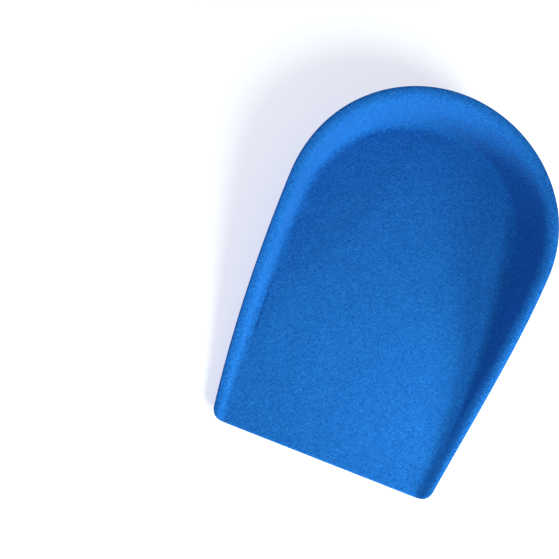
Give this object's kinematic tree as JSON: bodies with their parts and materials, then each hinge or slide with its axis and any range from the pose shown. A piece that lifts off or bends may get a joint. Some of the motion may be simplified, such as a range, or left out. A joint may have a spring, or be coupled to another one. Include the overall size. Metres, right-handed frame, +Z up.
{
  "type": "heel cup",
  "caption": "Gel heel cup with a cloth-covered hollow, a wall that rises round the heel, an open flat front edge and a soft disc let into its flat underside.",
  "frame": {"origin": "under the middle of the cup's length and width, on the plane of the flat underside", "axes": "+Z up out of the cup, +Y to the back of the heel, -Y to the open front edge, +X to one side; the cup is the same on both sides of X = 0"},
  "size_m": [0.0774, 0.108, 0.024],
  "materials": {
    "gel": "clear blue moulded gel, smooth and slightly glossy",
    "soft_gel": "even orange soft gel, satin",
    "cover_cloth": "blue brushed knit with a short soft nap"
  },
  "bodies": {
    "root": {"gel_body": "gel", "soft_plug": "soft_gel", "top_cover": "cover_cloth"}
  },
  "joints": []
}
